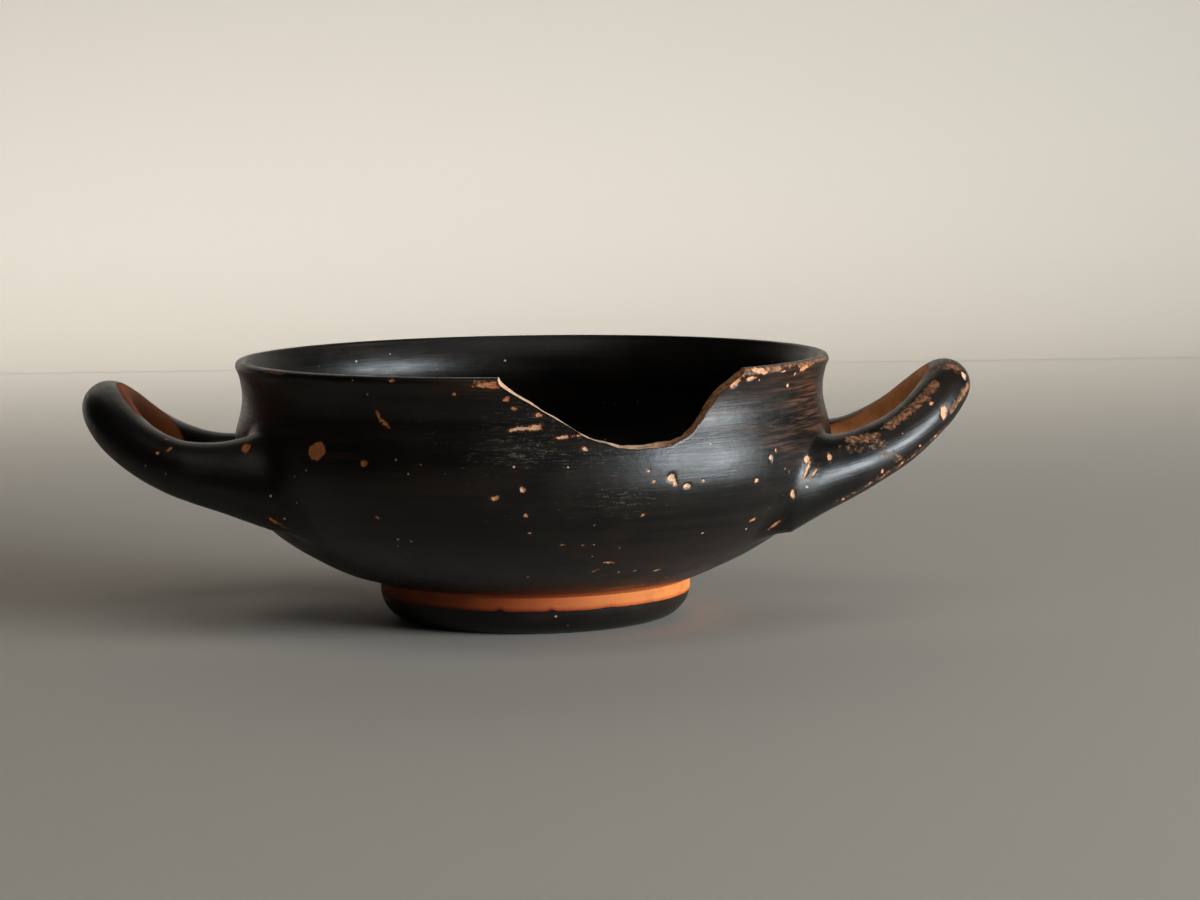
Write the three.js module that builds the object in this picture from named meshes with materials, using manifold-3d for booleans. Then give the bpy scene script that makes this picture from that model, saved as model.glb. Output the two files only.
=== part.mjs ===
// A stemless kylix: a shallow two-handled drinking cup of black-gloss pottery with a piece lost from its rim.
// It was thrown and fired as one body of clay, so bowl, foot and handles are one solid.
// Millimetres. +Z is up, +X runs through the handles and -Y is the side with the break.
// The origin is on the ground under the middle of the cup's length over its handles.
import * as THREE from "three";
import { mergeVertices } from "three/addons/utils/BufferGeometryUtils.js";
import Module from "manifold-3d";

// Driving dimensions
const HEIGHT = 60; // ground to the top of the lip
const LIP_R = 67.8; // widest part of the lip
const WALL = 3.4; // thickness of the thrown wall

// Bowl and lip. The side is two S curves, and each pull is how far a curve keeps its first direction.
const LIP_DROP = 1.6; // the lip is widest this far below its top
const LIP_OVER = 1.5; // rounding of the lip's outer edge, measured level
const LIP_UNDER = 4.4; // the lip starts to turn out this far below its top
const LIP_FLAT = 1; // width of the lip's top before it falls inwards
const NECK_R = 66.4; // the hollow below the lip
const NECK_Z = 51.5;
const NECK_PULL = 5;
const BELLY_R = 68.6; // widest part of the bowl
const BELLY_Z = 37.6;
const BELLY_PULL = { down: 13, up: 5.5 };
const UNDERSIDE_PULL = { out: 17, up: 7 };
const FLOOR = { r: 12, z: 9.6 }; // the flat inside, in the middle
const FOOT_BLEND = 0.4; // share of the wall by which the inner curve starts nearer the middle

// Torus foot
const FOOT_R = 35.7; // widest part
const FOOT_ROUND = 6.8; // radius of its outer face
const FOOT_TOP = 8.8; // where the bowl springs from it
const FOOT_LAND = 3.2; // width of the ring that it stands on
const RECESS = 4.6; // depth of the hollow under it
const RECESS_FLARE = 3.5; // how much narrower the hollow gets towards its top

// Handles: round in section, rising outwards from the belly and no two alike.
// reach is from the bowl's middle to the handle's outside, square sets how blunt the loop is,
// spread is half the distance between its arms, dip is how far the arm at +Y sits below the middle.
const ROOT_X = 54; // where an arm starts
const ROOT_SINK = 13; // how much further it runs on into the clay of the bowl
const HANDLES = [
  { side: -1, reach: 103, spread: 33, square: 0.68, rootZ: 34.2, rise: 15.2, curl: 3.4, dip: 2 },
  { side: 1, reach: 100.6, spread: 28, square: 0.8, rootZ: 33, rise: 18.8, curl: 2.45, dip: 0 },
];
const GRIP_R = 5.55; // half the thickness at the tip
const ROOT = { tall: 12.6, wide: 8.4 }; // half sizes where an arm starts
const ROOT_LEAN = 32; // degrees by which its foot is splayed away from the handle's middle
const ROOT_TAPER = 2.8; // how quickly an arm thins outwards

// The break: angles are round the bowl from -Y towards +X, in degrees, and heights from the ground
const BREAK_OUTLINE = [
  [-5.9, 61],
  [-5.4, 58],
  [3, 52],
  [9.4, 47.3],
  [13, 45.6],
  [17.6, 44.5],
  [23, 44.5],
  [27.5, 45.6],
  [30.5, 47.7],
  [33.5, 51.3],
  [36.5, 55],
  [40.5, 58],
  [43.5, 61],
];
const BREAK_SLANT = 0.14; // how much higher the break is inside the bowl, per millimetre of wall
const CLEARANCE = 6; // how far what is cut away runs past the clay

// Facets
const ROUND_STEPS = 72;
const CURVE_STEPS = 5;
const GRIP_SIDES = 14;
const GRIP_STEPS = 24;
const BREAK_STEPS = 2;

const END = 0.499; // beyond this lie a unit cylinder's two ends
const TURN_STEP = 0.03; // radians to either side of a place on a loop, for its direction

const wasm = await Module();
wasm.setup();

// A closed three.js geometry as a solid that can be joined and cut.
function solid(geometry) {
  const bare = geometry.clone();
  bare.deleteAttribute("normal");
  bare.deleteAttribute("uv");
  const merged = mergeVertices(bare, 1e-4);
  return new wasm.Manifold(
    new wasm.Mesh({
      numProp: 3,
      vertProperties: new Float32Array(merged.attributes.position.array),
      triVerts: new Uint32Array(merged.index.array),
    }),
  );
}

function geometryOf(body) {
  const mesh = body.getMesh();
  const geometry = new THREE.BufferGeometry();
  geometry.setAttribute("position", new THREE.BufferAttribute(mesh.vertProperties, 3));
  geometry.setIndex(new THREE.BufferAttribute(mesh.triVerts, 1));
  geometry.computeVertexNormals();
  return geometry;
}

// Turns a profile of (radius, height) points about +Z.
function thrown(path) {
  const turned = new THREE.LatheGeometry(path, ROUND_STEPS);
  return solid(turned.rotateX(Math.PI / 2));
}

// Moves every vertex of a geometry.
function reshaped(geometry, move) {
  const place = geometry.attributes.position;
  const p = new THREE.Vector3();
  for (let i = 0; i < place.count; i++) {
    p.fromBufferAttribute(place, i);
    const q = move(p);
    place.setXYZ(i, q.x, q.y, q.z);
  }
  return geometry;
}

// The bowl's side from the foot to the neck, set in by the wall's thickness for its inner face.
function side(path, inset) {
  const r = FOOT_R - inset * FOOT_BLEND;
  const z = FOOT_TOP + inset;
  const belly = BELLY_R - inset;
  const neck = NECK_R - inset;
  const { out, up } = UNDERSIDE_PULL;
  path.lineTo(r, z);
  path.bezierCurveTo(r + out, z + up, belly, BELLY_Z - BELLY_PULL.down, belly, BELLY_Z);
  path.bezierCurveTo(belly, BELLY_Z + BELLY_PULL.up, neck, NECK_Z - NECK_PULL, neck, NECK_Z);
}

function outside() {
  const path = new THREE.Path();
  const stand = FOOT_R - FOOT_ROUND;
  const hollow = stand - FOOT_LAND;
  path.moveTo(0, RECESS);
  path.lineTo(hollow - RECESS_FLARE, RECESS);
  path.quadraticCurveTo(hollow, RECESS, hollow, 0);
  path.lineTo(stand, 0);
  path.absarc(stand, FOOT_ROUND, FOOT_ROUND, -Math.PI / 2, 0, false);
  side(path, 0);
  path.quadraticCurveTo(NECK_R, HEIGHT - LIP_UNDER, LIP_R, HEIGHT - LIP_DROP);
  path.quadraticCurveTo(LIP_R, HEIGHT, LIP_R - LIP_OVER, HEIGHT);
  path.lineTo(0, HEIGHT);
  return path.getPoints(CURVE_STEPS);
}

function inside() {
  const path = new THREE.Path();
  const mouth = LIP_R - LIP_OVER - LIP_FLAT;
  path.moveTo(0, FLOOR.z);
  path.lineTo(FLOOR.r, FLOOR.z);
  side(path, WALL);
  path.quadraticCurveTo(NECK_R - WALL, HEIGHT - LIP_UNDER, mouth, HEIGHT);
  path.lineTo(mouth, HEIGHT + CLEARANCE);
  path.lineTo(0, HEIGHT + CLEARANCE);
  return path.getPoints(CURVE_STEPS);
}

// One handle: a cylinder bent along a loop that rises as it goes out, thicker towards the bowl.
function handle(shape) {
  const out = shape.reach - GRIP_R - ROOT_X;
  const share = (turn) => Math.max(Math.cos(turn), 0) ** shape.square;
  const loop = (turn) => {
    const across = Math.sin(turn);
    const rise = shape.rise * share(turn) ** shape.curl - shape.dip * across;
    return new THREE.Vector3(
      shape.side * (ROOT_X + out * share(turn)),
      shape.spread * across,
      shape.rootZ + rise,
    );
  };
  const up = new THREE.Vector3(0, 0, 1);
  const lean = THREE.MathUtils.degToRad(ROOT_LEAN) * shape.side;
  const bar = new THREE.CylinderGeometry(1, 1, 1, GRIP_SIDES, GRIP_STEPS);
  reshaped(bar, (p) => {
    const turn = Math.PI * p.y;
    const along = loop(turn + TURN_STEP).sub(loop(turn - TURN_STEP)).normalize();
    const tall = up.clone().addScaledVector(along, -up.dot(along)).normalize();
    const wide = along.clone().cross(tall);
    const root = (1 - share(turn)) ** ROOT_TAPER;
    const section = new THREE.Vector2(
      p.x * THREE.MathUtils.lerp(GRIP_R, ROOT.wide, root),
      p.z * THREE.MathUtils.lerp(GRIP_R, ROOT.tall, root),
    );
    section.rotateAround(new THREE.Vector2(), lean);
    const place = loop(turn).addScaledVector(wide, section.x).addScaledVector(tall, section.y);
    if (Math.abs(p.y) > END) place.x -= shape.side * ROOT_SINK;
    return place;
  });
  return solid(bar);
}

// The piece that is lost: the break's outline wrapped round the bowl and cut in towards its middle.
function lostPiece() {
  const points = BREAK_OUTLINE.map(([angle, z]) => new THREE.Vector2(angle, z));
  const outline = new THREE.Shape();
  outline.moveTo(points[0].x, HEIGHT + CLEARANCE);
  outline.lineTo(points[0].x, points[0].y);
  outline.splineThru(points.slice(1));
  outline.lineTo(points.at(-1).x, HEIGHT + CLEARANCE);
  const far = NECK_R - WALL - CLEARANCE;
  const depth = BELLY_R + CLEARANCE - far;
  const slab = new THREE.ExtrudeGeometry(outline, { depth, bevelEnabled: false, curveSegments: BREAK_STEPS });
  reshaped(slab, (p) => {
    const angle = THREE.MathUtils.degToRad(p.x);
    const radius = far + p.z;
    const lift = (LIP_R - radius) * BREAK_SLANT;
    return new THREE.Vector3(Math.sin(angle) * radius, -Math.cos(angle) * radius, p.y + lift);
  });
  return solid(slab);
}

let body = thrown(outside());
for (const shape of HANDLES) body = body.add(handle(shape));
body = body.subtract(thrown(inside())).subtract(lostPiece());

const blackGloss = new THREE.MeshStandardMaterial({ color: 0x14110f, roughness: 0.32, metalness: 0 });
const cup = new THREE.Mesh(geometryOf(body), blackGloss);
cup.name = "kylix_cup";
cup.geometry.computeBoundingBox();
const { min, max } = cup.geometry.boundingBox;
cup.geometry.translate(-(min.x + max.x) / 2, 0, 0);

const kylix = new THREE.Group();
kylix.add(cup);
export default kylix;
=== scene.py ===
"""A stemless kylix: a shallow two-handled drinking cup of black-gloss pottery with a piece lost from its rim.

The cup is thrown, handled and broken in millimetres, about the bowl's own axis, and scaled to metres
once it is finished. +Z is up, +X runs through the handles and -Y is the side with the break.
"""
import math
import random

import bmesh
import bpy
from mathutils import Matrix, Vector, noise
from mathutils.geometry import interpolate_bezier
from mathutils.kdtree import KDTree


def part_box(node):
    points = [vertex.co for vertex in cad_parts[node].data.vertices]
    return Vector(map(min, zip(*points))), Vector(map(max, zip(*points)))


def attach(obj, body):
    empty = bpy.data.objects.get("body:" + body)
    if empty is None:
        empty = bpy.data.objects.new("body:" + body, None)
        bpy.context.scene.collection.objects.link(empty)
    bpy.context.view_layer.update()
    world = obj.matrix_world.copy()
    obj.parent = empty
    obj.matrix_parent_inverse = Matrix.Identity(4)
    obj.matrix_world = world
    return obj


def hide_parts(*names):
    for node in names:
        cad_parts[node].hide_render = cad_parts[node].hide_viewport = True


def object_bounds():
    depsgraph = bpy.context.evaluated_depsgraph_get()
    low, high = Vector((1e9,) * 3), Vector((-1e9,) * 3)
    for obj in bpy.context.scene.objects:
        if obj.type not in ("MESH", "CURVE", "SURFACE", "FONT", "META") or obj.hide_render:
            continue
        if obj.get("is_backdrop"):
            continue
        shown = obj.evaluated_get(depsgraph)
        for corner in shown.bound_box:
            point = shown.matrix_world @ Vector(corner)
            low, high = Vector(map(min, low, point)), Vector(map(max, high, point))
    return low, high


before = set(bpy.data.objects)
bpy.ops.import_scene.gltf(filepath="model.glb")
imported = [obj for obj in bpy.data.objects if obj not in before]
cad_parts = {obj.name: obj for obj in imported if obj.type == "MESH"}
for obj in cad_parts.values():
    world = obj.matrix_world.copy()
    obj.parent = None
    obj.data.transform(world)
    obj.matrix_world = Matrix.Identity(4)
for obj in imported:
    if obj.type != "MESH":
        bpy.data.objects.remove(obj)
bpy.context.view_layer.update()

MM = 0.001
low, high = (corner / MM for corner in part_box("kylix_cup"))
HEIGHT = high.z - low.z
BELLY_R = (high.y - low.y) / 2
BOWL_X = 1.2  # the bowl's axis, from the middle of the cup's length over its handles

# Bowl and lip: radii and heights, and how far each curve keeps its first direction
WALL = 3.4
LIP_R = BELLY_R - 0.8
LIP_DROP = 1.6
LIP_OVER = 1.5
LIP_UNDER = 4.4
LIP_FLAT = 1
LIP_EASE = 0.8  # rounding of the lip's inner edge
NECK_R = BELLY_R - 2.2
NECK_Z = 51.5
NECK_PULL = 4
BELLY_Z = 37.6
BELLY_DOWN, BELLY_UP = 13, 7
UNDERSIDE_OUT, UNDERSIDE_UP = 17, 7
FLOOR_Z = 9.6
FLOOR_PULL = 15
FOOT_BLEND = 0.4

# Foot
FOOT_R = 35.7
FOOT_ROUND = 6.8
FOOT_TOP = 8.8
FOOT_LAND = 3.2
RECESS = 4.6
RECESS_FLARE = 3.5
ARC = 0.5523  # pull of a curve that draws a quarter circle of radius 1

# Handles
ROOT_X = 54
ROOT_SINK = 13
ROOT_LEAN = math.radians(32)
ROOT_TAPER = 2.8
TIP_TAPER = 4
LEFT = {"side": -1, "reach": BOWL_X - low.x - 0.05, "spread": 33, "square": 0.68, "root_z": 34.2, "rise": 15.2,
        "curl": 3.4, "dip": 2, "far": 0, "hump": 0, "grip": 5.5, "tip": 0.5, "tall": 13.6, "wide": 8.4}
RIGHT = {"side": 1, "reach": high.x - BOWL_X - 0.05, "spread": 27.5, "square": 1.4, "root_z": 33, "rise": 19.2,
         "curl": 2.5, "dip": 0, "far": 1.7, "hump": 1.7, "grip": 5.7, "tip": 0, "tall": 12.2, "wide": 11}
END = 0.499
TURN_STEP = 0.03

# The break, as degrees round the bowl from -Y towards +X and heights
BREAK = [(-5.9, 61), (-5.4, 58), (3, 52), (9.4, 47.3), (13, 45.6), (17.6, 44.5), (23, 44.5),
         (27.5, 45.6), (30.5, 47.7), (33.5, 51.3), (36.5, 55), (40.5, 58), (43.5, 61)]
BREAK_SLANT = 0.14  # how much higher it is inside the bowl, per millimetre of wall
BREAK_SKEW = {"left": -0.18, "right": 0.35}  # degrees by which its slopes turn aside inside, per millimetre
CLEARANCE = 6
SAG = 1.1
CUTTER_REACH = 18

# How finely things are divided
SIDE_STEP, INNER_STEP, LIP_STEP, FOOT_STEP = 0.8, 1.3, 0.5, 0.7
# Arcs round the bowl from the front's left, in degrees, and the steps in each
FINE = [(150, 240), (30, 24), (150, 60), (30, 24)]
PLAIN = [(150, 75), (210, 70)]
FIRST_TURN = math.radians(-75)
GRIP_SIDES, GRIP_STATIONS = 52, 120
BREAK_STEP, BREAK_CUTS = 9, 44

SHARP = math.radians(38)

OUTSIDE, GRIP, INSIDE, FRACTURE = range(4)


# ---------------------------------------------------------------- thrown shapes

def bend(path, leave, arrive, end, step):
    """Carries a (radius, height) path on to end in a curve, in points about step apart."""
    knots = [Vector((r, z, 0)) for r, z in (path[-1], leave, arrive, end)]
    length = sum((b - a).length for a, b in zip(knots, knots[1:]))
    count = max(2, round(length / step))
    path += [(p.x, p.y) for p in interpolate_bezier(*knots, count + 1)[1:]]


def round_off(path, corner, end, step):
    """Carries the path on to end round a corner that it never reaches."""
    start = path[-1]
    leave = [a + (c - a) * 2 / 3 for a, c in zip(start, corner)]
    arrive = [b + (c - b) * 2 / 3 for b, c in zip(end, corner)]
    bend(path, leave, arrive, end, step)


def run(path, end, step):
    bend(path, path[-1], end, end, step)


def side(path, inset, step):
    """The bowl's side from the foot to the neck, set in for its inner face."""
    r, z = FOOT_R - inset * FOOT_BLEND, FOOT_TOP + inset
    belly, neck = BELLY_R - inset, NECK_R - inset
    bend(path, (r + UNDERSIDE_OUT, z + UNDERSIDE_UP), (belly, BELLY_Z - BELLY_DOWN), (belly, BELLY_Z), step)
    bend(path, (belly, BELLY_Z + BELLY_UP), (neck, NECK_Z - NECK_PULL), (neck, NECK_Z), step)


def outer_path():
    stand = FOOT_R - FOOT_ROUND
    hollow = stand - FOOT_LAND
    path = [(0, RECESS)]
    run(path, (hollow - RECESS_FLARE, RECESS), 2)
    round_off(path, (hollow, RECESS), (hollow, 0.5), FOOT_STEP)
    round_off(path, (hollow, 0), (hollow + 0.5, 0), FOOT_STEP)
    run(path, (stand, 0), FOOT_STEP)
    bend(path, (stand + FOOT_ROUND * ARC, 0), (FOOT_R, FOOT_ROUND * (1 - ARC)), (FOOT_R, FOOT_ROUND), FOOT_STEP)
    run(path, (FOOT_R, FOOT_TOP), FOOT_STEP)
    side(path, 0, SIDE_STEP)
    round_off(path, (NECK_R, HEIGHT - LIP_UNDER), (LIP_R, HEIGHT - LIP_DROP), LIP_STEP)
    round_off(path, (LIP_R, HEIGHT), (LIP_R - LIP_OVER, HEIGHT), LIP_STEP)
    run(path, (0, HEIGHT), 3)
    return path


def inner_path():
    mouth = LIP_R - LIP_OVER - LIP_FLAT
    r, z = FOOT_R - WALL * FOOT_BLEND, FOOT_TOP + WALL
    slope = Vector((UNDERSIDE_OUT, UNDERSIDE_UP)).normalized() * FLOOR_PULL
    path = [(0, FLOOR_Z)]
    bend(path, (FLOOR_PULL, FLOOR_Z), (r - slope.x, z - slope.y), (r, z), INNER_STEP)
    side(path, WALL, INNER_STEP)
    round_off(path, (NECK_R - WALL, HEIGHT - LIP_UNDER), (mouth, HEIGHT - LIP_EASE), LIP_STEP)
    round_off(path, (mouth + LIP_EASE / 3, HEIGHT), (mouth + LIP_EASE, HEIGHT + 0.01), LIP_STEP / 2)
    run(path, (mouth + LIP_EASE, HEIGHT + CLEARANCE), 2)
    run(path, (0, HEIGHT + CLEARANCE), 3)
    return path


def as_object(name, bm, label):
    """A mesh object from a finished bmesh, with all its faces marked with one label."""
    for face in bm.faces:
        face.material_index = label
    mesh = bpy.data.meshes.new(name)
    bm.to_mesh(mesh)
    bm.free()
    for _ in range(FRACTURE + 1):
        mesh.materials.append(None)
    made = bpy.data.objects.new(name, mesh)
    bpy.context.scene.collection.objects.link(made)
    return made


def closed(bm):
    bmesh.ops.remove_doubles(bm, verts=bm.verts, dist=1e-3)
    bmesh.ops.recalc_face_normals(bm, faces=bm.faces)
    return bm


def thrown(name, path, label, turns):
    """Turns a path about +Z, finest at the front."""
    bm = bmesh.new()
    start = Matrix.Rotation(FIRST_TURN, 3, "Z")
    verts = [bm.verts.new(start @ Vector((0, -r, z))) for r, z in path]
    chain = verts + [bm.edges.new(pair) for pair in zip(verts, verts[1:])]
    for degrees, steps in turns:
        chain = bmesh.ops.spin(bm, geom=chain, cent=(0, 0, 0), axis=(0, 0, 1), dvec=(0, 0, 0),
                               angle=math.radians(degrees), steps=steps)["geom_last"]
    return as_object(name, closed(bm), label)


# ---------------------------------------------------------------- handles

def share(shape, turn):
    return max(math.cos(turn), 0) ** shape["square"]


def loop(shape, turn):
    """A place on the middle line of a handle, from one arm at -pi/2 to the other at pi/2."""
    out = shape["reach"] - shape["grip"] - shape["tip"] - ROOT_X
    part, across = share(shape, turn), math.sin(turn)
    rise = shape["rise"] * part ** shape["curl"] - shape["dip"] * across + shape["far"] * max(across, 0)
    rise -= shape["hump"] * across * 4 * part * (1 - part)
    return Vector((shape["side"] * (ROOT_X + out * part), shape["spread"] * across, shape["root_z"] + rise))


def on_grip(shape, turn, x, y):
    """A place in a handle's section, where x and y run from -1 to 1 across it."""
    along = (loop(shape, turn + TURN_STEP) - loop(shape, turn - TURN_STEP)).normalized()
    up = Vector((0, 0, 1))
    tall = (up - along * up.dot(along)).normalized()
    wide = along.cross(tall)
    root = (1 - share(shape, turn)) ** ROOT_TAPER
    thick = shape["grip"] + shape["tip"] * share(shape, turn) ** TIP_TAPER
    section = Vector((x * (thick + (shape["wide"] - thick) * root), y * (thick + (shape["tall"] - thick) * root)))
    section.rotate(Matrix.Rotation(ROOT_LEAN * shape["side"], 2))
    return loop(shape, turn) + wide * section.x + tall * section.y


def handle(name, shape):
    bm = bmesh.new()
    bmesh.ops.create_cone(bm, cap_ends=True, segments=GRIP_SIDES, radius1=1, radius2=1, depth=1)
    long_edges = [e for e in bm.edges if abs(e.verts[0].co.z - e.verts[1].co.z) > 0.5]
    bmesh.ops.subdivide_edges(bm, edges=long_edges, cuts=GRIP_STATIONS - 1, use_grid_fill=True)
    for v in bm.verts:
        x, y, length = v.co
        v.co = on_grip(shape, math.pi * length, x, y)
        if abs(length) > END:
            v.co.x -= shape["side"] * ROOT_SINK
    return as_object(name, closed(bm), GRIP)


# ---------------------------------------------------------------- the lost piece

def through(points, steps):
    """A smooth line through the points."""
    ends = [points[0], *points, points[-1]]
    line = [points[0]]
    for before, a, b, after in zip(ends, ends[1:], ends[2:], ends[3:]):
        line += interpolate_bezier(a, a + (b - before) / 6, b - (after - a) / 6, b, steps + 1)[1:]
    return line


def lost_piece():
    """The break's outline in degrees and heights, wrapped round the bowl and cut in towards its middle."""
    far = NECK_R - WALL - CLEARANCE
    depth = BELLY_R + CUTTER_REACH - far
    line = through([Vector((a, z, 0)) for a, z in BREAK], BREAK_STEP)
    top = HEIGHT + CLEARANCE
    first, last = BREAK[0][0], BREAK[-1][0]
    across = [Vector((last + (first - last) * i / 20, top, 0)) for i in range(21)]
    bm = bmesh.new()
    outline = bm.faces.new([bm.verts.new(p) for p in line + across])
    pushed = bmesh.ops.extrude_face_region(bm, geom=[outline])["geom"]
    bmesh.ops.translate(bm, vec=(0, 0, depth), verts=[v for v in pushed if isinstance(v, bmesh.types.BMVert)])
    long_edges = [e for e in bm.edges if abs(e.verts[0].co.z - e.verts[1].co.z) > 0.5]
    bmesh.ops.subdivide_edges(bm, edges=long_edges, cuts=BREAK_CUTS, use_grid_fill=True)
    for v in bm.verts:
        degrees, z, reach = v.co
        radius = far + reach
        into = LIP_R - radius
        left = smooth_step(-5, 1, degrees) * (1 - smooth_step(11, 18, degrees))
        skew = left * BREAK_SKEW["left"] + smooth_step(20, 28, degrees) * BREAK_SKEW["right"]
        angle = math.radians(degrees + skew * max(into, -2))
        v.co = Vector((math.sin(angle) * radius, -math.cos(angle) * radius, z + into * BREAK_SLANT))
        v.co += noise.noise_vector(v.co / 3.2) * 0.3 + noise.noise_vector(v.co / 1.1) * 0.12
    return as_object("lost_piece", closed(bm), FRACTURE)


def combined(base, *steps):
    """The base joined with or cut by each tool in turn, as a new bmesh."""
    for operation, tool in steps:
        cut = base.modifiers.new(tool.name, "BOOLEAN")
        cut.operation, cut.object, cut.solver, cut.material_mode = operation, tool, "MANIFOLD", "INDEX"
    bpy.context.view_layer.update()
    made = bpy.data.meshes.new_from_object(base.evaluated_get(bpy.context.evaluated_depsgraph_get()))
    bm = bmesh.new()
    bm.from_mesh(made)
    bpy.data.meshes.remove(made)
    for tool in [base] + [tool for _, tool in steps]:
        bpy.data.objects.remove(tool)
    return bm


# ---------------------------------------------------------------- wear, and one painted sheen: where they are on the cup

def on_bowl(degrees, z):
    """A place on the outside of the bowl, at an angle from -Y towards +X."""
    angle = math.radians(degrees)
    r = radius_at(z)
    return Vector((math.sin(angle) * r, -math.cos(angle) * r, z))


def radius_at(z):
    below, above = (0, 0), (0, 0)
    for below, above in zip(OUTER_PATH, OUTER_PATH[1:]):
        if below[1] <= z <= above[1] and below[0] > FOOT_R - 1:
            break
    span = above[1] - below[1]
    return below[0] + (above[0] - below[0]) * ((z - below[1]) / span if span else 0)


def on_skin(shape, turn, lift):
    """A place on a handle: lift 0 faces out from its loop, 90 up and 180 towards the bowl."""
    section = Vector((shape["side"] * math.cos(math.radians(lift)), math.sin(math.radians(lift))))
    section.rotate(Matrix.Rotation(-ROOT_LEAN * shape["side"], 2))
    return on_grip(shape, turn, section.x, section.y)


def along_skin(shape, turns, lifts, reach, strength):
    """A worn line on a handle, or the painted sheen on top of the left handle's tip, in four straight parts."""
    shares = [i / 4 for i in range(5)]
    places = [on_skin(shape, turns[0] + (turns[1] - turns[0]) * t, lifts[0] + (lifts[1] - lifts[0]) * t)
              for t in shares]
    return [(a, b, reach, strength) for a, b in zip(places, places[1:])]


OUTER_PATH = outer_path()

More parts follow.
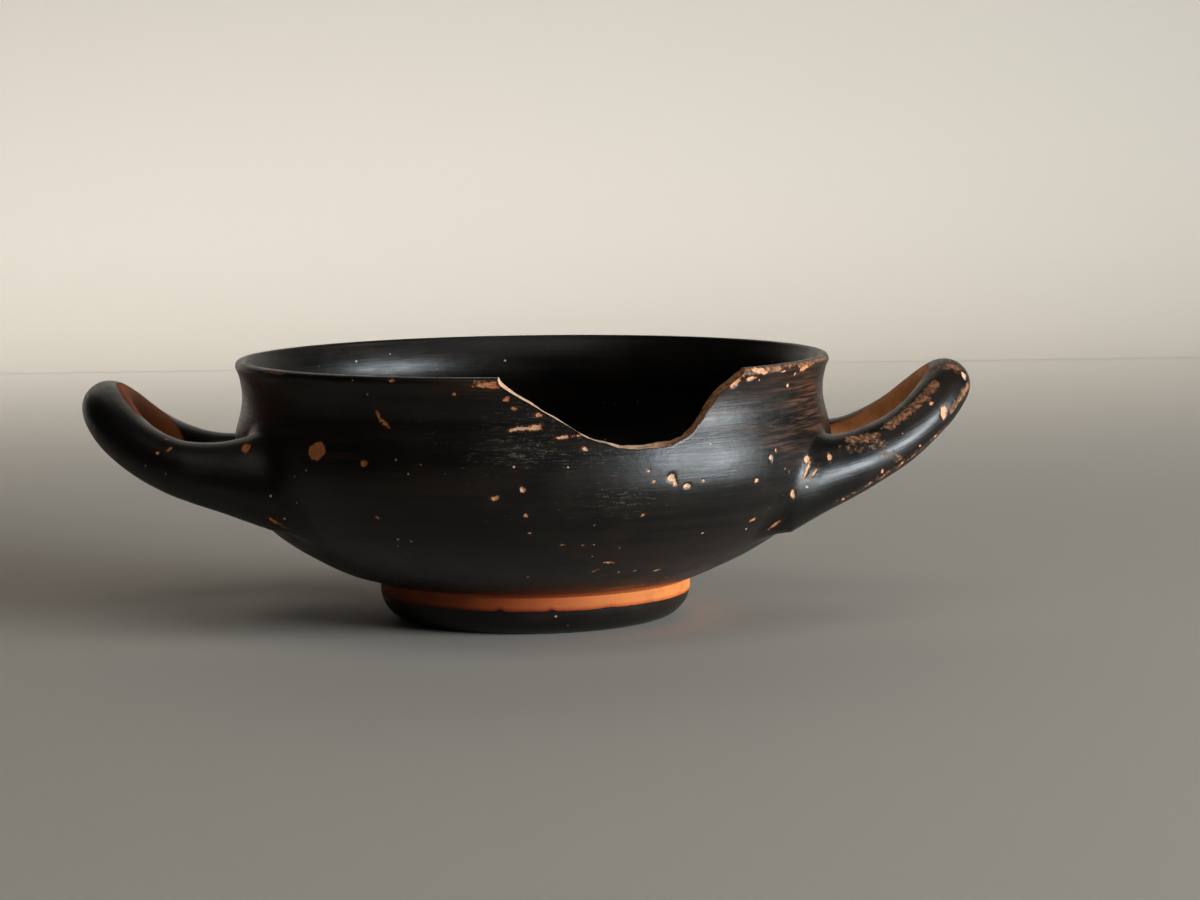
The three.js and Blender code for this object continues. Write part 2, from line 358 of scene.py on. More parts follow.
# Flakes and chips: place, half width, half height, tilt in degrees, depth, and how buff the clay is in them
MARKS = [
    (on_bowl(-43, 43.5), 2.6, 2.0, 0, 0.16, 0.1),
    (on_bowl(-31.5, 41.5), 0.9, 0.75, 0, 0.12, 0.0),
    (on_bowl(-29.5, 51.6), 1.3, 0.4, -62, 0.12, 0.1),
    (on_bowl(-28, 50.2), 1.4, 0.35, -38, 0.12, 0.15),
    (on_bowl(-14, 56.5), 0.5, 0.45, 0, 0.12, 0.6),
    (on_bowl(-26, 59.3), 0.7, 0.4, 0, 0.15, 0.2),
    (on_bowl(-8.5, 58.5), 2.6, 0.5, 3, 0.25, 0.3),
    (on_bowl(-6.6, 58.4), 2.2, 0.85, 0, 0.3, 0.15),
    (on_bowl(-4.6, 55.5), 0.75, 0.55, 20, 0.15, 0.2),
    (on_bowl(-3.4, 53.6), 0.55, 0.4, 0, 0.12, 0.3),
    (on_bowl(1, 52), 0.8, 0.35, -10, 0.15, 0.5),
    (on_bowl(-2.2, 49.3), 2.2, 0.34, 4, 0.2, 0.8),
    (on_bowl(0.7, 49.5), 1.5, 0.62, 20, 0.25, 0.6),
    (on_bowl(-4, 48.9), 0.5, 0.35, 0, 0.15, 0.7),
    (on_bowl(5.4, 47.3), 1.6, 0.34, 3, 0.2, 0.7),
    (on_bowl(8.2, 47.6), 1.3, 0.16, 8, 0.1, 0.6),
    (on_bowl(9, 44.9), 0.75, 0.42, -10, 0.2, 0.9),
    (on_bowl(-6.8, 34.7), 0.9, 0.58, 0, 0.25, 0.55),
    (on_bowl(-2, 36.6), 0.62, 0.6, 0, 0.3, 0.85),
    (on_bowl(-1.5, 31), 0.4, 0.38, 0, 0.15, 0.6),
    (on_bowl(-1, 27), 0.3, 0.3, 0, 0.1, 0.5),
    (on_bowl(-30, 30), 0.55, 0.3, -15, 0.1, 0.5),
    (on_bowl(25, 37.8), 0.9, 0.85, 35, 0.35, 1.0),
    (on_bowl(25.6, 36.9), 0.45, 0.8, 0, 0.3, 1.0),
    (on_bowl(28, 36.2), 0.72, 0.62, 0, 0.35, 1.0),
    (on_bowl(31.5, 37), 0.42, 0.36, 0, 0.2, 0.95),
    (on_bowl(21.5, 37.6), 0.4, 0.28, 0, 0.15, 0.9),
    (on_bowl(20.6, 39.7), 0.36, 0.28, 0, 0.15, 0.9),
    (on_bowl(44.5, 35.8), 0.5, 0.42, 20, 0.2, 0.95),
    (on_bowl(48.5, 40.4), 0.55, 0.8, 0, 0.3, 0.8),
    (on_bowl(50, 41.6), 0.3, 0.28, 0, 0.15, 0.8),
    (on_bowl(47.5, 26.6), 0.85, 0.55, 20, 0.25, 0.45),
    (on_bowl(16.3, 18.9), 1.35, 0.42, -14, 0.2, 0.6),
    (on_bowl(14.2, 16.8), 1.2, 0.16, 48, 0.1, 0.5),
    (on_bowl(31.8, 15.7), 0.9, 0.5, 12, 0.2, 0.5),
    (on_bowl(25, 16), 0.4, 0.35, 0, 0.15, 0.5),
    (on_bowl(-2, 15.7), 0.4, 0.4, 0, 0.15, 0.6),
    (on_bowl(5.3, 23.9), 0.4, 0.25, 0, 0.12, 0.6),
    (on_bowl(9.3, 23.7), 0.45, 0.22, -20, 0.12, 0.4),
    (on_bowl(20, 30.3), 0.45, 0.3, 20, 0.12, 0.8),
    (on_bowl(35, 24.8), 0.36, 0.32, 0, 0.12, 0.8),
    (on_bowl(45.8, 59.1), 2.4, 0.8, -8, 0.35, 0.75),
    (on_bowl(44, 57.5), 1.5, 0.55, 8, 0.3, 0.7),
    (on_bowl(40.2, 57.2), 1.9, 0.7, 48, 0.5, 0.6),
    (on_bowl(62, 58.4), 2.4, 0.55, 8, 0.2, 0.3),
    (on_bowl(53.5, 58.4), 1.2, 0.22, 4, 0.1, 0.9),
    (on_bowl(58.5, 57.3), 0.35, 0.35, 0, 0.1, 0.9),
    (on_bowl(56.5, 55), 0.45, 0.45, 0, 0.12, 0.9),
    (on_bowl(179, 59.2), 0.9, 1.2, 0, 0.25, 0.1),
    (on_bowl(-115, 59.2), 0.9, 0.9, 0, 0.2, 0.1),
    # where the right arm joins the bowl
    (Vector((60, -34.7, 38.7)), 0.75, 1.0, -10, 0.3, 0.95),
    (Vector((59.6, -35.6, 36.3)), 2.6, 0.34, 55, 0.25, 0.95),
    (Vector((61.2, -35.3, 35.4)), 2.0, 0.2, 50, 0.12, 0.9),
    (Vector((56.5, -38, 31.4)), 0.6, 0.85, 0, 0.25, 0.8),
    (Vector((52.7, -35.9, 24.3)), 1.8, 0.4, 52, 0.2, 0.2),
    (Vector((65, -32.5, 38.6)), 0.5, 1.1, 0, 0.1, 0.8),
    # the right handle
    (on_skin(RIGHT, -0.16, 31), 0.9, 1.1, 0, 0.2, 0.9),
    (on_skin(RIGHT, -0.47, 8), 1.1, 1.5, -20, 0.25, 0.8),
    (on_skin(RIGHT, -0.5, 42), 0.5, 0.45, 0, 0.15, 0.6),
    (on_skin(RIGHT, -0.995, -41), 0.5, 0.4, 0, 0.2, 0.6),
    (on_skin(RIGHT, -0.92, -27), 0.45, 0.45, 0, 0.2, 0.8),
    (on_skin(RIGHT, -1.15, -50), 0.5, 0.4, 20, 0.15, 0.6),
    (on_skin(RIGHT, -0.8, -36), 0.6, 0.4, 30, 0.2, 0.6),
    (on_skin(RIGHT, -0.68, -23), 0.45, 0.35, 0, 0.15, 0.7),
    (on_skin(RIGHT, -0.56, -33), 0.6, 0.4, 30, 0.2, 0.6),
    # the left handle
    (on_skin(LEFT, -1.05, 32), 0.45, 0.4, 0, 0.15, 0.5),
    (on_skin(LEFT, -1.1, 48), 0.55, 0.4, 20, 0.1, 0.1),
    (on_skin(LEFT, -1.02, 78), 0.4, 0.3, 0, 0.1, 0.1),
    (on_skin(LEFT, -1.13, -4), 0.3, 0.35, 0, 0.1, 0.1),
    (on_skin(LEFT, -0.52, -4), 0.35, 0.7, 10, 0.1, 0.0),
    (Vector((-62.4, -36, 43)), 0.8, 1.5, 10, 0.08, 0.0),
    (Vector((-56, -41, 27.7)), 2.3, 0.3, -38, 0.1, 0.0),
]

# Where the slip is thin and reddish, and where it is scuffed: degrees, height, half widths and strength
THIN = [(67, 49.5, 9, 5, 1), (40, 49.5, 10, 3.5, 0.7), (55, 43, 9, 3, 0.5), (60, 56, 10, 3, 0.5),
        (-38, 43.5, 4, 2, 0.4), (-11, 57.5, 8, 2, 0.3), (92, 44, 14, 7, 0.8), (-95, 43, 10, 5, 0.5)]
SCUFFED = [(16, 34, 7, 3.5, 1), (0, 44, 8, 3, 0.7), (17, 43, 5, 2, 0.6), (0, 47, 24, 7, 0.4), (1, 52, 7, 4, 0.6),
           (45, 50, 25, 6, 0.5), (-5, 31, 12, 3, 0.3), (140, 44, 25, 8, 0.4), (-150, 36, 30, 8, 0.35)]


# Parts rubbed through to the clay, and a painted sheen on top of the left handle's tip drawn as one of them: two ends,
# reach and strength
RUBBED_AND_SHEEN = [
    *along_skin(RIGHT, (-0.78, -0.36), (58, 73), 1.5, 1.0),
    *along_skin(RIGHT, (-0.62, -0.44), (66, 69), 2.2, 0.75),
    *along_skin(RIGHT, (-1.02, -0.88), (58, 50), 1.8, 0.85),
    *along_skin(RIGHT, (-1.1, -0.86), (42, 26), 1.6, 0.55),
    *along_skin(RIGHT, (-0.9, -0.78), (12, -30), 1.7, 0.5),
    *along_skin(RIGHT, (-0.2, -0.15), (150, 62), 2.4, 0.8),
    *along_skin(RIGHT, (-0.08, 0.3), (80, 85), 2.2, 0.6),
    *along_skin(RIGHT, (-0.42, -0.15), (-2, 8), 1.2, 0.85),
    *along_skin(RIGHT, (-1.2, -0.45), (-48, -30), 1.0, 0.62),
    *along_skin(RIGHT, (0.5, 1.0), (70, 40), 1.6, 0.5),
    # Top of the left handle's tip: partly rubbed, partly a painted sheen (painted highlight) in the rubbed clay's
    # colour
    *along_skin(LEFT, (-0.35, -0.1), (80, 70), 2.0, 0.45),
    *along_skin(LEFT, (0.2, 0.8), (60, 70), 1.8, 0.5),
    (Vector((55.7, -39.7, 36.8)), Vector((54, -40.5, 37)), 1.2, 0.5),
    *((on_bowl(a, 59.3), on_bowl(a + 5, 59.3), 1.1, 0.95) for a in (42, 47, 60)),
    *((on_bowl(a, 59.5), on_bowl(a + 7, 59.5), 0.8, 0.75) for a in (50, 55, 65, 72, 85, 118, 150, -170, -140, -60)),
    (on_bowl(-10, 59), on_bowl(-6, 58.6), 0.8, 0.9),
]

# How far round from the tip the inner face of each handle is bare, and the bare band above the foot
BARE_TURN = {-1: 0.88, 1: 1.42}
BAND_LOW, BAND_HIGH = 5.9, 10.0
SLIP_RUNS = [(-13, 1.6, 0.55), (5.5, 1.3, 0.4), (27, 2.5, 0.15), (110, 2, 0.4), (-150, 1.5, 0.5)]


def spread(patches, degrees, z):
    """How strongly a place lies in the patches, from 0 to 1."""
    total = 0
    for angle, height, half_wide, half_tall, strength in patches:
        turn = (degrees - angle + 180) % 360 - 180
        total += strength * math.exp(-((turn / half_wide) ** 2) - ((z - height) / half_tall) ** 2)
    return min(total, 1)


def smooth_step(a, b, x):
    t = min(max((x - a) / (b - a), 0), 1)
    return t * t * (3 - 2 * t)


# ---------------------------------------------------------------- the cup

def joined_and_broken():
    bm = combined(
        thrown("thrown_body", OUTER_PATH, OUTSIDE, FINE),
        ("UNION", handle("left_handle", LEFT)),
        ("UNION", handle("right_handle", RIGHT)),
        ("DIFFERENCE", thrown("hollow", inner_path(), INSIDE, PLAIN)),
        ("DIFFERENCE", lost_piece()),
    )
    split_ngons(bm)
    bmesh.ops.remove_doubles(bm, verts=bm.verts, dist=0.03)
    return bm


def split_ngons(bm):
    bmesh.ops.triangulate(bm, faces=[f for f in bm.faces if len(f.verts) > 4])


def between(bm, one, other):
    """The vertices where two kinds of face meet."""
    found = []
    for v in bm.verts:
        labels = {f.material_index for f in v.link_faces}
        if one in labels and other in labels:
            found.append(v)
    return found


def tree_of(points):
    tree = KDTree(len(points))
    for i, p in enumerate(points):
        tree.insert(p, i)
    tree.balance()
    return tree


def smooth_joins(bm):
    """The clay of each arm is wiped into the bowl, so the join is a soft hollow."""
    divide_near(bm, [(v.co.copy(), 5) for v in between(bm, OUTSIDE, GRIP)], 1.3)
    tree = tree_of([v.co for v in between(bm, OUTSIDE, GRIP)])
    for reach, rounds in ((5.5, 8), (4, 14), (2.5, 16), (1.2, 8)):
        near = [v for v in bm.verts if tree.find(v.co)[2] < reach]
        for _ in range(rounds):
            bmesh.ops.smooth_vert(bm, verts=near, factor=0.5, use_axis_x=True, use_axis_y=True, use_axis_z=True)
    return tree


def divide_near(bm, places, longest):
    """Divides the faces round each place, given as points and reaches, until their edges are short."""
    for _ in range(2):
        tree = tree_of([v.co for v in bm.verts])
        bm.verts.ensure_lookup_table()
        near = set()
        for place, reach in places:
            near.update(i for _, i, _ in tree.find_range(place, reach))
        edges = [e for e in bm.edges if e.verts[0].index in near and e.verts[1].index in near
                 and e.calc_length() > longest]
        bmesh.ops.subdivide_edges(bm, edges=edges, cuts=1, use_grid_fill=True)
        split_ngons(bm)
        bm.verts.index_update()


def middle_lines():
    """Places on both handles' middle lines, with the handle and turn of each."""
    places = []
    for shape in (LEFT, RIGHT):
        for i in range(-60, 61):
            turn = i / 60 * math.pi / 2
            places.append((loop(shape, turn), shape, turn))
    return places, tree_of([p for p, _, _ in places])


def grip_frame(lines, co):
    """For a place on a handle: the handle, its turn, and how far the place faces the loop's inside and upwards."""
    places, tree = lines
    middle, i, _ = tree.find(co)
    _, shape, turn = places[i]
    along = (loop(shape, turn + TURN_STEP) - loop(shape, turn - TURN_STEP)).normalized()
    inward = Vector((shape["side"] * ROOT_X, 0, middle.z)) - middle
    inward = (inward - along * inward.dot(along)).normalized()
    upward = along.cross(inward)
    if upward.z < 0:
        upward.negate()
    out = (co - middle).normalized()
    return shape, turn, out.dot(inward), out.dot(upward)


def bare_distance(co, label, lines):
    """How far a place lies inside a part left without slip, in mm, and below 0 outside one."""
    r = math.hypot(co.x, co.y)
    degrees = math.degrees(math.atan2(co.x, -co.y))
    wave = noise.noise(co / 9)
    if label == GRIP:
        shape, turn, inward, upward = grip_frame(lines, co)
        if inward < 0:
            return -2
        end = BARE_TURN[shape["side"]] - 0.25 * upward * (shape["side"] < 0)
        brim = 0.95 - 0.4 * smooth_step(0.3, 0.95, turn) if shape["side"] < 0 else 0.7
        edge = min(brim - upward, upward + 0.9) * shape["grip"]
        return min(edge, (end - abs(turn)) * 25) + wave * 0.7
    if label != OUTSIDE:
        return -2
    if r < FOOT_R - FOOT_ROUND - FOOT_LAND * 0.3 and co.z < FOOT_TOP:
        return 1
    if r < FOOT_R - 1.5:
        return -2
    runs = sum(tall * math.exp(-(((degrees - angle) / wide) ** 2)) for angle, wide, tall in SLIP_RUNS)
    lowest = BAND_LOW + wave * 0.15 + runs
    highest = BAND_HIGH + 0.3 * math.sin(math.radians(degrees)) + wave * 0.25
    return max(min(co.z - lowest, highest - co.z), -2)


def worn_off_and_sheen(co):
    """How much a place has been rubbed, with the painted sheen on top of the left handle's tip counted in, from 0 to 1.
    """
    most = 0
    for a, b, reach, strength in RUBBED_AND_SHEEN:
        span = b - a
        t = min(max((co - a).dot(span) / max(span.length_squared, 1e-6), 0), 1)
        most = max(most, strength * math.exp(-(((co - a - span * t).length / reach) ** 2)))
    return most


def sag(co):
    """The clay under the left side has sunk a little."""
    return SAG * smooth_step(20, 45, -co.x) * smooth_step(FOOT_TOP, 12.5, co.z) * (1 - smooth_step(22, 32, co.z))


def worn(bm, join_tree):
    """Relief and wear: moves the vertices, always inwards, and writes what the finish reads."""
    names = ("lost", "buff", "bare", "thin", "scuffed", "rubbed", "join", "edge")
    layer = {name: bm.verts.layers.float.new(name) for name in names}
    grain = bm.verts.layers.float_vector.new("grain")
    lines = middle_lines()
    bm.normal_update()
    break_tree = tree_of([v.co for v in between(bm, OUTSIDE, FRACTURE)] + [v.co for v in between(bm, INSIDE, FRACTURE)])
    all_tree = tree_of([v.co for v in bm.verts])
    bm.verts.ensure_lookup_table()
    lost, sunk, buff = {}, {}, {}
    for number, (place, half_wide, half_tall, tilt, depth, tone) in enumerate(MARKS):
        centre, nearest, _ = all_tree.find(place)
        normal = bm.verts[nearest].normal
        level = Vector((0, 0, 1)).cross(normal).normalized()
        upward = normal.cross(level)
        turned = Matrix.Rotation(math.radians(tilt), 3, normal)
        level, upward = turned @ level, turned @ upward
        small = min(half_wide, half_tall)
        for co, i, _ in all_tree.find_range(centre, max(half_wide, half_tall) * 1.4 + 1):
            if bm.verts[i].normal.dot(normal) < 0.2:
                continue
            away = co - centre
            ratio = math.hypot(away.dot(level) / half_wide, away.dot(upward) / half_tall)
            shift = Vector((number * 3.7, 0, 0))
            jag = noise.noise(co / (0.5 + small * 0.6) + shift) + 0.5 * noise.noise(co / 0.45 + shift)
            inside = (1 - ratio) * small + jag * min(0.5 * small, 0.5)
            if inside > lost.get(i, -2):
                lost[i], buff[i] = inside, tone
            sunk[i] = max(sunk.get(i, 0), depth * smooth_step(0, 0.25, inside))
    for v in bm.verts:
        co = v.co.copy()
        labels = [f.material_index for f in v.link_faces]
        label = max(set(labels), key=labels.count)
        r = math.hypot(co.x, co.y)
        degrees = math.degrees(math.atan2(co.x, -co.y))
        join = join_tree.find(co)[2]
        edge = break_tree.find(co)[2]
        v[layer["join"]] = join
        v[layer["edge"]] = edge
        v[layer["lost"]] = lost.get(v.index, -2)
        v[layer["buff"]] = buff.get(v.index, 0.5)
        v[layer["bare"]] = bare_distance(co, label, lines)
        on_side = label == OUTSIDE and r > FOOT_R
        v[layer["thin"]] = spread(THIN, degrees, co.z) if on_side else 0
        v[layer["scuffed"]] = spread(SCUFFED, degrees, co.z) if on_side else 0
        v[layer["rubbed"]] = worn_off_and_sheen(co)
        if label == GRIP:
            shape, turn, inward, upward = grip_frame(lines, co)
            v[grain] = Vector((turn * 2.5, inward * 6, upward * 6 + 300 * shape["side"]))
        else:
            v[grain] = Vector((co.x * 0.05, co.y * 0.05, co.z + (FOOT_R - min(r, 60)) * 0.6 + 100 * label))
        if FRACTURE in labels:
            continue
        if label == GRIP:
            sink = 0.13 + 0.13 * noise.noise(co / 9) + 0.05 * noise.noise(co / 3)
        else:
            ring = noise.noise(Vector((co.x / 90, co.y / 90, co.z / 2.6 + r / 9)))
            sink = 0.1 + 0.06 * noise.noise(co / 34) + 0.045 * ring
            sink *= smooth_step(0, 3, HEIGHT + 0.3 - co.z) if co.z > 30 else smooth_step(0, 2, co.z)
        v.co = co - v.normal * (sink + sunk.get(v.index, 0))
        if label != INSIDE:
            v.co.z -= sag(co)


def cup_mesh():
    bm = joined_and_broken()
    join_tree = smooth_joins(bm)
    places = [(place, max(half_wide, half_tall) + 0.8) for place, half_wide, half_tall, *_ in MARKS]
    places += [(v.co.copy(), 1.2) for v in between(bm, OUTSIDE, FRACTURE)]
    divide_near(bm, places, 0.42)
    worn(bm, join_tree)
    for face in bm.faces:
        face.smooth = True
        face.material_index = int(face.material_index == FRACTURE)
    for edge in bm.edges:
        kinds = {face.material_index for face in edge.link_faces}
        edge.smooth = len(kinds) == 1 and edge.calc_face_angle(0) < SHARP
    bmesh.ops.translate(bm, vec=(BOWL_X, 0, 0), verts=bm.verts)
    bmesh.ops.scale(bm, vec=(MM, MM, MM), verts=bm.verts)
    mesh = bpy.data.meshes.new("kylix")
    bm.to_mesh(mesh)
    bm.free()
    return mesh


# ---------------------------------------------------------------- finishes

class Finish:
    """A procedural finish, with short ways to add and link its nodes."""

    def __init__(self, name):
        self.material = bpy.data.materials.new(name)
        self.material.use_nodes = True
        self.nodes = self.material.node_tree.nodes
        self.shader = self.nodes["Principled BSDF"]

    def link(self, socket, value):
        if isinstance(value, bpy.types.NodeSocket):
            self.material.node_tree.links.new(value, socket)
        elif isinstance(value, tuple) and len(value) == 3 and socket.type == "RGBA":
            socket.default_value = (*value, 1)
        else:
            socket.default_value = value

    def node(self, kind, inputs, **settings):
        made = self.nodes.new("ShaderNode" + kind)
        for name, value in settings.items():
            setattr(made, name, value)
        for name, value in inputs.items():
            self.link(made.inputs[name], value)
        return made

    def millimetres(self):
        place = self.node("TexCoord", {}).outputs["Object"]
        return self.node("Mapping", {"Vector": place, "Scale": (1000, 1000, 1000)}).outputs["Vector"]

    def stretched(self, vector, scale):
        return self.node("Mapping", {"Vector": vector, "Scale": scale}).outputs["Vector"]

    def written(self, name, output="Fac"):
        return self.node("Attribute", {}, attribute_name=name).outputs[output]

    def cloud(self, vector, size, detail=3, rough=0.5):
        """Soft noise from 0 to 1, with features about size across."""
        return self.node("TexNoise", {"Vector": vector, "Scale": 1 / size, "Detail": detail,
                                      "Roughness": rough}).outputs["Fac"]

    def math(self, operation, a, b=0.0):
        return self.node("Math", {0: a, 1: b}, operation=operation).outputs[0]

    def step(self, value, low, high, to_low=0.0, to_high=1.0):
        """Rises smoothly from to_low to to_high as value goes from low to high."""
        return self.node("MapRange", {"Value": value, "From Min": low, "From Max": high, "To Min": to_low,
                                      "To Max": to_high}, interpolation_type="SMOOTHSTEP").outputs["Result"]

    def step_straight(self, value, low, high):
        return self.node("MapRange", {"Value": value, "From Min": low, "From Max": high}).outputs["Result"]

    def mix(self, share, a, b):
        made = self.nodes.new("ShaderNodeMix")
        made.data_type = "RGBA"
        self.link(made.inputs[0], share)
        self.link(made.inputs[6], a)
        self.link(made.inputs[7], b)
        return made.outputs[2]

    def blend(self, share, a, b):
        made = self.nodes.new("ShaderNodeMix")
        made.data_type = "FLOAT"
        self.link(made.inputs[0], share)
        self.link(made.inputs[2], a)
        self.link(made.inputs[3], b)
        return made.outputs[0]

    def relief(self, height, distance, under=None):
        inputs = {"Height": height, "Distance": distance * MM, "Strength": 1.0}
        if under is not None:
            inputs["Normal"] = under
        return self.node("Bump", inputs).outputs["Normal"]


BLACK, BROWN_BLACK = (0.0045, 0.0038, 0.0032), (0.011, 0.0072, 0.0045)
RED_SLIP, SCUFF, HALO = (0.15, 0.055, 0.026), (0.075, 0.068, 0.054), (0.05, 0.015, 0.006)
ORANGE, DEEP_ORANGE, BUFF, PINK_BUFF = (0.55, 0.18, 0.05), (0.34, 0.09, 0.02), (0.62, 0.42, 0.27), (0.55, 0.31, 0.18)
PALE_GRIT = (0.6, 0.5, 0.38)
# The bare clay's colour from end to end of the cup, in millimetres: redder and darker to the left. This is partly the
# clay's fired colour and partly painted light: painted shade on the left side and a painted highlight on the right end,
# towards the window.
FIRED_AND_PAINTED_LIGHT = [(-95, (0.42, 0.12, 0.032)), (-38, (0.14, 0.026, 0.005)), (0, (0.36, 0.068, 0.013)),
         (36, (0.64, 0.21, 0.05)), (64, (0.78, 0.32, 0.12))]


def fired_clay_and_painted_light(f, place):
    """Bare clay, mottled and gritty, coloured along X partly by its place in the kiln and partly by painted shade to
    the left and painted light to the right.
    """
    first, last = FIRED_AND_PAINTED_LIGHT[0][0], FIRED_AND_PAINTED_LIGHT[-1][0]
    across = f.node("SeparateXYZ", {"Vector": place}).outputs["X"]
    ramp = f.node("ValToRGB", {"Fac": f.step_straight(across, first, last)})
    stops = ramp.color_ramp.elements
    for number, (x, colour) in enumerate(FIRED_AND_PAINTED_LIGHT):
        at = (x - first) / (last - first)
        stop = stops[number] if number in (0,) else stops.new(at) if number < len(FIRED_AND_PAINTED_LIGHT) - 1 else stops[-1]
        stop.position, stop.color = at, (*colour, 1)
    clay = f.mix(f.step(f.cloud(place, 5, 4, 0.6), 0.42, 0.75, 0, 0.45), ramp.outputs["Color"], DEEP_ORANGE)
    return f.mix(f.step(f.cloud(place, 0.35, 2), 0.6, 0.75, 0, 0.3), clay, DEEP_ORANGE)


def black_gloss():
    f = Finish("black_gloss_slip")
    place = f.millimetres()
    grain = f.written("grain", "Vector")
    streak = f.cloud(grain, 0.5, 4, 0.6)
    broad = f.cloud(grain, 2.4, 3)
    patchy = f.cloud(place, 11, 3)
    fine = f.cloud(place, 0.5, 4, 0.6)
    hair = f.cloud(f.stretched(grain, (1, 1, 4)), 1, 3, 0.65)
    scratch = f.cloud(f.stretched(grain, (7, 7, 3.2)), 1, 3, 0.6)
    grit = f.cloud(place, 0.35, 2)

    body = f.mix(f.step(f.math("ADD", f.math("MULTIPLY", broad, 0.6), f.math("MULTIPLY", patchy, 0.4)), 0.42, 0.62),
                 BLACK, BROWN_BLACK)
    thin = f.math("MULTIPLY", f.written("thin"), f.step(f.math("ADD", f.math("MULTIPLY", streak, 0.65),
                  f.math("MULTIPLY", broad, 0.35)), 0.46, 0.64))
    body = f.mix(f.math("MULTIPLY", thin, 0.8), body, RED_SLIP)
    scuff = f.step(f.math("ADD", scratch, f.math("MULTIPLY", f.written("scuffed"), 0.2)), 0.64, 0.84)
    scuff = f.math("MULTIPLY", scuff, f.step(f.math("ADD", fine, f.math("MULTIPLY", patchy, 0.5)), 0.64, 0.92))
    body = f.mix(scuff, body, SCUFF)

    pits = f.node("TexVoronoi", {"Vector": place, "Scale": 0.36}, feature="F1")
    chance = f.node("SeparateColor", {"Color": pits.outputs["Color"]})
    reach = f.step(chance.outputs[0], 0.4, 1.0, 0.0, 0.11)
    reach = f.math("ADD", reach, f.math("MULTIPLY", f.math("SUBTRACT", fine, 0.5), 0.14))
    speck = f.step(f.math("SUBTRACT", reach, pits.outputs["Distance"]), 0.0, 0.03)
    speck = f.math("MULTIPLY", speck, f.step(patchy, 0.38, 0.5))
    speck_clay = f.mix(chance.outputs[1], DEEP_ORANGE, PALE_GRIT)
    # Rubbed-through wear; on top of the left handle's tip the same mask also paints a sheen (painted highlight)
    rub_and_sheen = f.math("MULTIPLY", f.written("rubbed"), 0.62)
    rub_and_sheen = f.math("ADD", rub_and_sheen, f.math("MULTIPLY", f.cloud(place, 1.1, 5, 0.7), 1.1))
    rub_and_sheen = f.step(rub_and_sheen, 0.8, 1.06)

    jag = f.math("MULTIPLY", f.math("SUBTRACT", f.cloud(place, 0.7, 5, 0.7), 0.5), 1.1)
    chip = f.math("ADD", f.written("lost"), jag)
    flaked = f.step(chip, -0.04, 0.04)
    unslipped = f.math("ADD", f.written("bare"), f.math("MULTIPLY", jag, 0.35))
    bare = f.step(unslipped, -0.08, 0.08)

    # Clay within 1 mm of the slip's edge is darkened: painted shade under the bowl's overhang at the foot band's top,
    # and the same darkening along every other edge of bare clay
    clay_with_painted_edge_shade = f.mix(f.step(unslipped, 0.0, 1.0), f.node("Gamma", {"Color": fired_clay_and_painted_light(f, place), "Gamma": 1.5})
                       .outputs["Color"], fired_clay_and_painted_light(f, place))
    rubbed_clay_and_sheen = f.mix(f.step(f.cloud(place, 0.9, 3, 0.6), 0.4, 0.62), (0.1, 0.04, 0.018), (0.4, 0.17, 0.075))
    chip_clay = f.mix(f.written("buff"), f.mix(f.step(fine, 0.35, 0.6), DEEP_ORANGE, ORANGE),
                      f.mix(f.step(fine, 0.35, 0.6), PINK_BUFF, BUFF))
    chip_clay = f.mix(f.step(chip, 0.0, 0.14), DEEP_ORANGE, chip_clay)
    colour = f.mix(f.math("MULTIPLY", rub_and_sheen, 0.9), body, rubbed_clay_and_sheen)
    colour = f.mix(f.step(chip, -0.4, 0.0, 0, 0.8), colour, HALO)
    colour = f.mix(bare, colour, clay_with_painted_edge_shade)
    colour = f.mix(speck, colour, speck_clay)
    colour = f.mix(flaked, colour, chip_clay)
    f.link(f.shader.inputs["Base Color"], colour)

    dull = f.math("MAXIMUM", f.math("MAXIMUM", bare, speck),
                  f.math("MAXIMUM", flaked, f.math("MULTIPLY", rub_and_sheen, 0.6)))
    gloss = f.step(f.math("ADD", f.math("MULTIPLY", streak, 0.5), f.math("MULTIPLY", patchy, 0.5)), 0.35, 0.65,
                   0.29, 0.42)
    gloss = f.math("ADD", gloss, f.math("MULTIPLY", f.math("MAXIMUM", thin, scuff), 0.12))
    f.link(f.shader.inputs["Roughness"], f.blend(dull, gloss, 0.8))

    brushed = f.relief(f.math("ADD", streak, f.math("MULTIPLY", hair, 0.5)), 0.03)
    lumpy = f.relief(f.cloud(place, 2.2, 3), 0.05, brushed)
    steps = f.relief(f.math("MULTIPLY", f.math("MAXIMUM", f.math("MAXIMUM", flaked, rub_and_sheen), speck), -1.0), 0.06, lumpy)
    f.link(f.shader.inputs["Normal"], f.relief(f.math("MULTIPLY", grit, dull), 0.05, steps))
    f.shader.inputs["Specular IOR Level"].default_value = 0.3
    return f.material


def broken_clay():
    f = Finish("broken_clay")
    place = f.millimetres()
    coarse, fine = f.cloud(place, 1.6, 4, 0.6), f.cloud(place, 0.45, 3, 0.6)
    across = f.node("SeparateXYZ", {"Vector": place}).outputs["X"]
    darker = f.step(f.math("ADD", across, f.math("MULTIPLY", coarse, 8)), 26, 36)
    pale = f.mix(f.step(coarse, 0.38, 0.62), PINK_BUFF, BUFF)
    dark = f.mix(f.step(coarse, 0.36, 0.6), (0.16, 0.055, 0.018), (0.5, 0.21, 0.07))
    colour = f.mix(darker, pale, dark)
    colour = f.mix(f.step(fine, 0.6, 0.72, 0, 0.6), colour, (0.16, 0.08, 0.04))
    f.link(f.shader.inputs["Base Color"], colour)
    f.link(f.shader.inputs["Roughness"], f.step(fine, 0.3, 0.7, 0.75, 0.9))
    f.link(f.shader.inputs["Normal"], f.relief(fine, 0.12, f.relief(coarse, 0.3)))
    return f.material


mesh = cup_mesh()
mesh.materials.append(black_gloss())
mesh.materials.append(broken_clay())
cup = bpy.data.objects.new("kylix", mesh)
bpy.context.scene.collection.objects.link(cup)
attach(cup, "root")
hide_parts("kylix_cup")


# ---------------------------------------------------------------- camera, light and floor

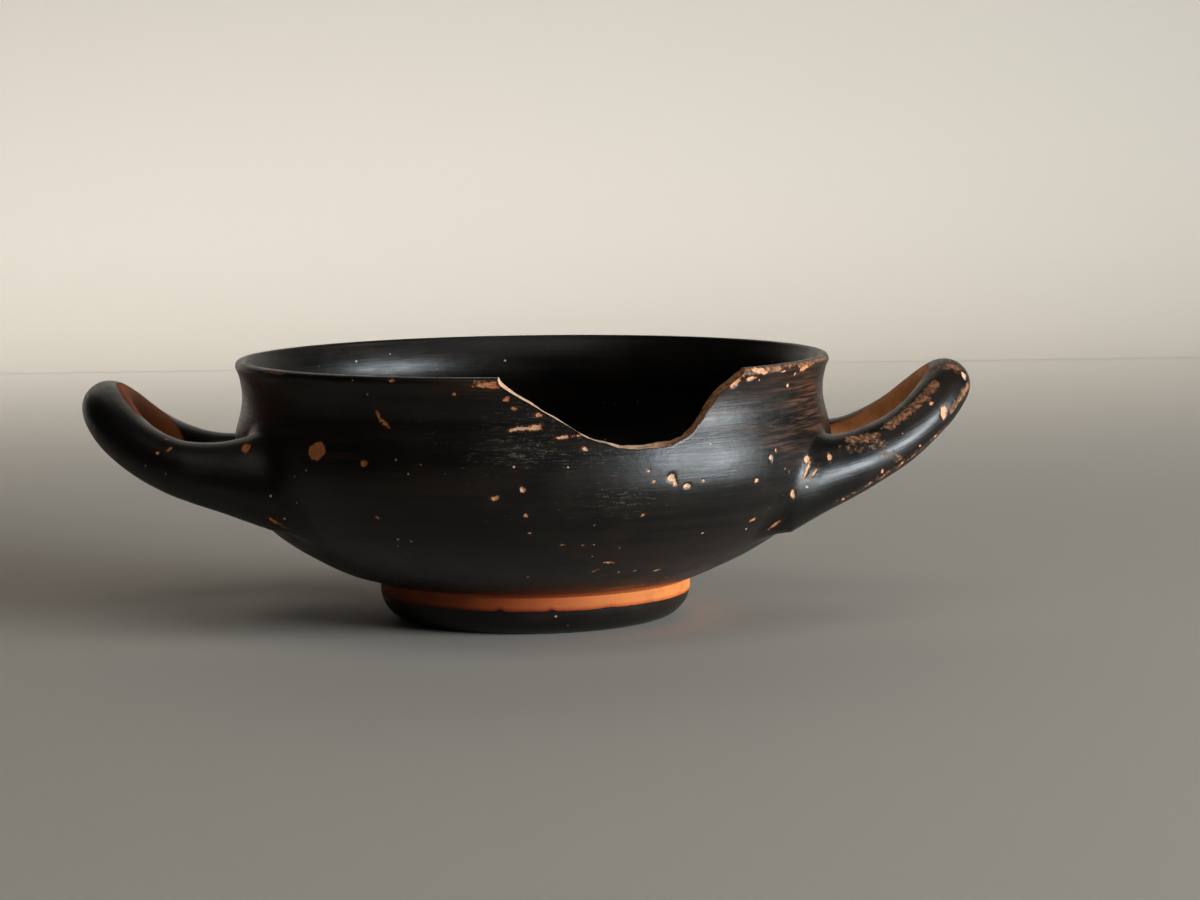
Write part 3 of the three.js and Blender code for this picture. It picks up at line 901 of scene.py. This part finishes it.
def paper_strip(name, half_width, profile):
    """A strip of pale paper whose (y, z) profile is carried from side to side."""
    bm = bmesh.new()
    verts = [bm.verts.new((-half_width, y, z)) for y, z in profile]
    chain = [bm.edges.new(pair) for pair in zip(verts, verts[1:])]
    pushed = bmesh.ops.extrude_edge_only(bm, edges=chain)["geom"]
    bmesh.ops.translate(bm, vec=(2 * half_width, 0, 0), verts=[v for v in pushed if isinstance(v, bmesh.types.BMVert)])
    bmesh.ops.recalc_face_normals(bm, faces=bm.faces)
    for face in bm.faces:
        face.smooth = True
    mesh = bpy.data.meshes.new(name)
    bm.to_mesh(mesh)
    bm.free()
    made = bpy.data.objects.new(name, mesh)
    bpy.context.scene.collection.objects.link(made)
    mesh.materials.append(PAPER)
    made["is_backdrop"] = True


PAPER = bpy.data.materials.new("pale_paper")
PAPER.use_nodes = True
PAPER.node_tree.nodes["Principled BSDF"].inputs["Base Color"].default_value = (0.48, 0.44, 0.385, 1)
PAPER.node_tree.nodes["Principled BSDF"].inputs["Roughness"].default_value = 0.8

paper_strip("floor", 2.5, [(-2.5, 0), (2.5, 0)])
wall = [(0.75, 0.0001)]
bend(wall, (0.95, 0.0001), (1.05, 0.1), (1.05, 0.35), 0.02)
paper_strip("backdrop", 0.8, [*wall, (1.05, 1.6)])

lens = bpy.data.cameras.new("camera")
lens.lens, lens.sensor_width = 93.63, 36
lens.clip_start, lens.clip_end = 0.01, 20
camera = bpy.data.objects.new("camera", lens)
bpy.context.scene.collection.objects.link(camera)
camera.matrix_world = (
    Matrix.Translation((0.00145, -0.7138, 0.1115))
    @ Matrix.Rotation(-0.021, 4, "Z")
    @ Matrix.Rotation(math.pi / 2 - 0.103, 4, "X")
    @ Matrix.Rotation(-0.012, 4, "Z")
)
bpy.context.scene.camera = camera


def soft_light(name, place, aim, width, height, watts, colour):
    data = bpy.data.lights.new(name, "AREA")
    data.shape, data.size, data.size_y = "RECTANGLE", width, height
    data.energy, data.color = watts, colour
    lamp = bpy.data.objects.new(name, data)
    bpy.context.scene.collection.objects.link(lamp)
    lamp.location = place
    lamp.rotation_euler = (Vector(aim) - Vector(place)).to_track_quat("-Z", "Y").to_euler()
    return lamp


soft_light("window", (1.24, -0.6, 0.21), (0, 0, 0.04), 0.9, 0.36, 34, (0.87, 0.95, 1))
soft_light("ceiling", (0.1, -0.7, 1.3), (0, 0, 0), 1.5, 1.2, 4.5, (1, 0.95, 0.88))
backdrop_light = soft_light("backdrop_light", (-0.3, 0.7, 1.4), (-0.3, 1.05, 0.3), 1.4, 0.4, 6, (1, 0.99, 0.97))
backdrop_light.data.spread = math.radians(75)

world = bpy.data.worlds.new("room")
world.use_nodes = True
room = world.node_tree
dim = room.nodes["Background"]
dim.inputs["Color"].default_value = (0.02, 0.02, 0.02, 1)
seen = room.nodes.new("ShaderNodeBackground")
seen.inputs["Color"].default_value = (0.42, 0.4, 0.37, 1)
either = room.nodes.new("ShaderNodeMixShader")
room.links.new(room.nodes.new("ShaderNodeLightPath").outputs["Is Camera Ray"], either.inputs[0])
room.links.new(dim.outputs[0], either.inputs[1])
room.links.new(seen.outputs[0], either.inputs[2])
room.links.new(either.outputs[0], room.nodes["World Output"].inputs["Surface"])
bpy.context.scene.world = world
bpy.context.scene.view_settings.view_transform = "Standard"

low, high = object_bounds()
